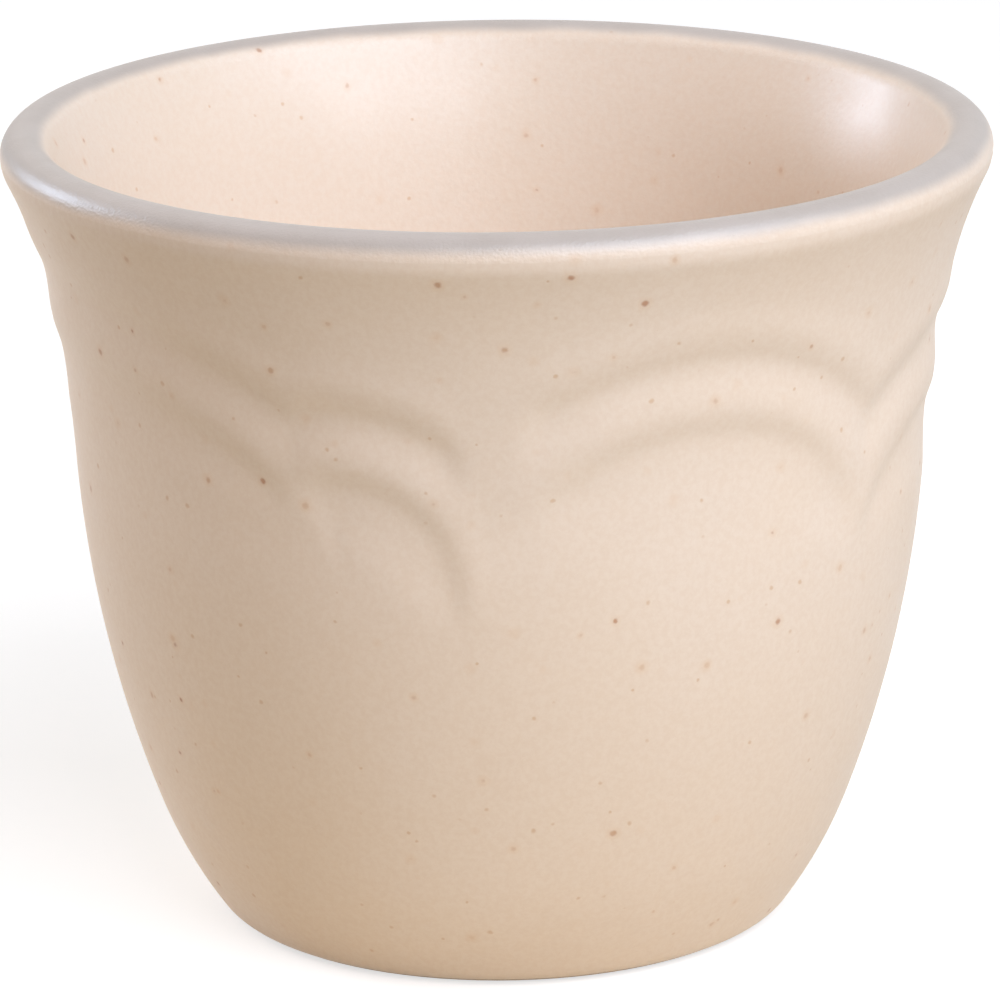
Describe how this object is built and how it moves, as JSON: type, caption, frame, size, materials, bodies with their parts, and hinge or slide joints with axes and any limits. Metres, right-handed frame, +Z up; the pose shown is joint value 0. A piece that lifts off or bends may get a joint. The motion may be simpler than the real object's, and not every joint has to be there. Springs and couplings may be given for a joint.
{
  "type": "custard cup",
  "caption": "Handleless custard cup in speckled glazed stoneware, with a flared rounded lip, a grey band over the lip and a shallow moulded arcade round the upper wall.",
  "frame": {"origin": "centre of the foot ring at table height", "axes": "+Z up the axis of the cup, -Y towards the front of the arcade, +X to the right seen from the front"},
  "size_m": [0.089, 0.089, 0.073],
  "materials": {
    "bare_clay": "bare fired stoneware, matte",
    "speckled_glaze": "satin matte cream glaze with brown specks",
    "liner_glaze": "satin peach cream glaze with brown specks",
    "grey_band": "satin pearl grey glaze, soft edged"
  },
  "bodies": {
    "root": {"clay_body": "bare_clay", "outer_glaze": "speckled_glaze", "inner_glaze": "liner_glaze", "rim_band": "grey_band", "base_glaze": "speckled_glaze"}
  },
  "joints": []
}
